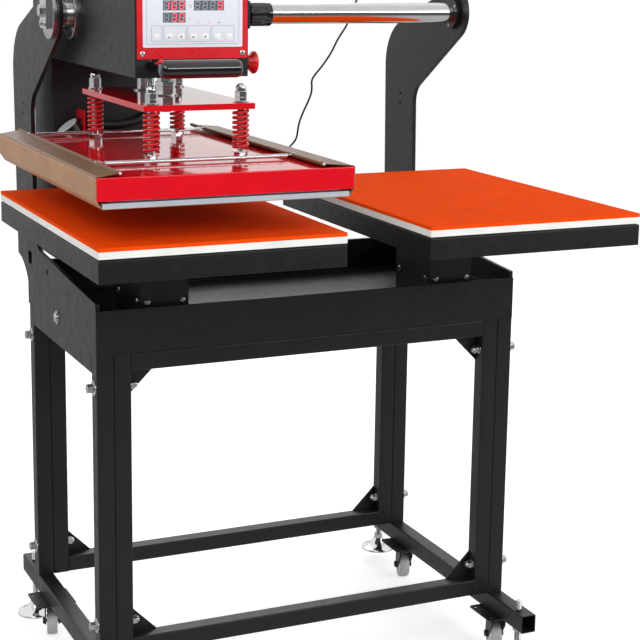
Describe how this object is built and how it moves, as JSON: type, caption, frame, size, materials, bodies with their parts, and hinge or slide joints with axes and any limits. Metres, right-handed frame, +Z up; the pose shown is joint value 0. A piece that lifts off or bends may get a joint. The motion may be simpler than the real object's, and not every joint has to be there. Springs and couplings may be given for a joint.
{
  "type": "pneumatic dual heat press",
  "caption": "Floor-standing heat press whose air-driven heated head slides on a cross bar between side-by-side pressing pads on a steel stand with castors.",
  "frame": {"origin": "on the floor under the middle of the stand's overall footprint", "axes": "+X to the operator's right along the cross bar, -Y towards the operator, +Z up"},
  "size_m": [0.9471, 0.806, 1.412],
  "materials": {
    "frame_black": "satin black powder coat",
    "red_enamel": "glossy red enamel",
    "spring_red": "red painted spring wire",
    "chrome": "hard chrome, polished",
    "steel": "turned steel",
    "zinc_steel": "zinc plated steel",
    "aluminium": "machined aluminium",
    "silicone_orange": "silicone sheet, matt",
    "board_white": "heat-resistant board",
    "release_cloth": "coated glass cloth, smooth",
    "keypad_white": "membrane overlay",
    "grip_black": "dipped glossy plastic",
    "button_red": "moulded plastic",
    "fitting_black": "black moulded fittings",
    "wheel_grey": "moulded tread and hub",
    "nylon": "machined nylon",
    "cord_black": "flexible sheath"
  },
  "bodies": {
    "root": {"left_side_frame": "frame_black", "right_side_frame": "frame_black", "front_frame": "frame_black", "rear_frame": "frame_black", "frame_bolts": "zinc_steel", "base_tray": "frame_black", "side_plate_left": "frame_black", "side_plate_right": "frame_black", "plate_screws": "zinc_steel", "pad_support_left": "frame_black", "pad_support_right": "frame_black", "pad_box_left": "frame_black", "pad_box_right": "frame_black", "pad_boards": "board_white", "silicone_pads": "silicone_orange", "cross_bar": "chrome", "bar_end_clamp": "aluminium", "bar_socket": "fitting_black", "lower_guide_rail": "steel", "castor_plates": "frame_black", "foot_lock_nuts": "zinc_steel", "cord_glands": "fitting_black", "signal_cord": "cord_black"},
    "head": {"head_frame": "frame_black", "head_shell": "frame_black", "rear_column": "frame_black", "guide_shoe": "nylon", "bar_bearings": "steel", "front_panel": "red_enamel", "keypad": "keypad_white", "handle": "grip_black", "side_fittings": "fitting_black", "air_cylinder": "aluminium", "air_fittings": "fitting_black", "power_inlet": "fitting_black"},
    "press": {"press_rods": "chrome", "mid_plate": "red_enamel", "die_springs": "spring_red"},
    "platen": {"platen_cover": "red_enamel", "heater_plate": "aluminium", "spring_bolts": "chrome", "release_sheet": "release_cloth", "sheet_tensioners": "steel", "heater_terminal": "red_enamel", "heater_conduit": "cord_black"},
    "thumb_button": {"thumb_button": "button_red"},
    "stop_button": {"stop_button": "button_red"},
    "regulator_knob": {"regulator_knob": "fitting_black"},
    "castor_fork_front_left": {"castor_fork_front_left": "frame_black"},
    "castor_wheel_front_left": {"castor_wheel_front_left": "wheel_grey"},
    "levelling_foot_front_left": {"levelling_foot_front_left": "chrome"},
    "castor_fork_front_right": {"castor_fork_front_right": "frame_black"},
    "castor_wheel_front_right": {"castor_wheel_front_right": "wheel_grey"},
    "levelling_foot_front_right": {"levelling_foot_front_right": "chrome"},
    "castor_fork_rear_left": {"castor_fork_rear_left": "frame_black"},
    "castor_wheel_rear_left": {"castor_wheel_rear_left": "wheel_grey"},
    "levelling_foot_rear_left": {"levelling_foot_rear_left": "chrome"},
    "castor_fork_rear_right": {"castor_fork_rear_right": "frame_black"},
    "castor_wheel_rear_right": {"castor_wheel_rear_right": "wheel_grey"},
    "levelling_foot_rear_right": {"levelling_foot_rear_right": "chrome"}
  },
  "joints": [
    {"name": "head_slide", "type": "slide", "parent": "root", "child": "head", "axis": [1, 0, 0], "range_m": [-0.006, 0.54]},
    {"name": "press_stroke", "type": "slide", "parent": "head", "child": "press", "axis": [0, 0, 1], "range_m": [-0.055, 0]},
    {"name": "platen_float", "type": "slide", "parent": "press", "child": "platen", "axis": [0, 0, 1], "range_m": [0, 0.006], "stiffness_N_per_m": 40000, "springref_m": -0.004, "deforming": ["die_springs"]},
    {"name": "thumb_button_press", "type": "slide", "parent": "head", "child": "thumb_button", "axis": [0.7071, 0, -0.7071], "range_m": [0, 0.002], "stiffness_N_per_m": 400},
    {"name": "stop_button_press", "type": "slide", "parent": "head", "child": "stop_button", "axis": [-1, 0, 0], "range_m": [0, 0.004], "stiffness_N_per_m": 800},
    {"name": "regulator_turn", "type": "hinge", "parent": "head", "child": "regulator_knob", "pos_m": [-0.1735, -0.211, 1.2065], "axis": [1, 0, 0], "range_deg": [-150, 150]},
    {"name": "castor_swivel_front_left", "type": "hinge", "parent": "root", "child": "castor_fork_front_left", "pos_m": [-0.382, -0.137, 0.067], "axis": [0, 0, 1], "continuous": true},
    {"name": "castor_roll_front_left", "type": "hinge", "parent": "castor_fork_front_left", "child": "castor_wheel_front_left", "pos_m": [-0.37838, -0.12348, 0.026], "axis": [0.9659, -0.2588, 0], "continuous": true},
    {"name": "levelling_front_left", "type": "slide", "parent": "root", "child": "levelling_foot_front_left", "axis": [0, 0, 1], "range_m": [0, 0.024]},
    {"name": "castor_swivel_front_right", "type": "hinge", "parent": "root", "child": "castor_fork_front_right", "pos_m": [0.382, -0.137, 0.067], "axis": [0, 0, 1], "continuous": true},
    {"name": "castor_roll_front_right", "type": "hinge", "parent": "castor_fork_front_right", "child": "castor_wheel_front_right", "pos_m": [0.38562, -0.12348, 0.026], "axis": [0.9659, -0.2588, 0], "continuous": true},
    {"name": "levelling_front_right", "type": "slide", "parent": "root", "child": "levelling_foot_front_right", "axis": [0, 0, 1], "range_m": [0, 0.024]},
    {"name": "castor_swivel_rear_left", "type": "hinge", "parent": "root", "child": "castor_fork_rear_left", "pos_m": [-0.382, 0.243, 0.067], "axis": [0, 0, 1], "continuous": true},
    {"name": "castor_roll_rear_left", "type": "hinge", "parent": "castor_fork_rear_left", "child": "castor_wheel_rear_left", "pos_m": [-0.37838, 0.25652, 0.026], "axis": [0.9659, -0.2588, 0], "continuous": true},
    {"name": "levelling_rear_left", "type": "slide", "parent": "root", "child": "levelling_foot_rear_left", "axis": [0, 0, 1], "range_m": [0, 0.024]},
    {"name": "castor_swivel_rear_right", "type": "hinge", "parent": "root", "child": "castor_fork_rear_right", "pos_m": [0.382, 0.243, 0.067], "axis": [0, 0, 1], "continuous": true},
    {"name": "castor_roll_rear_right", "type": "hinge", "parent": "castor_fork_rear_right", "child": "castor_wheel_rear_right", "pos_m": [0.38562, 0.25652, 0.026], "axis": [0.9659, -0.2588, 0], "continuous": true},
    {"name": "levelling_rear_right", "type": "slide", "parent": "root", "child": "levelling_foot_rear_right", "axis": [0, 0, 1], "range_m": [-0.024, 0]}
  ]
}
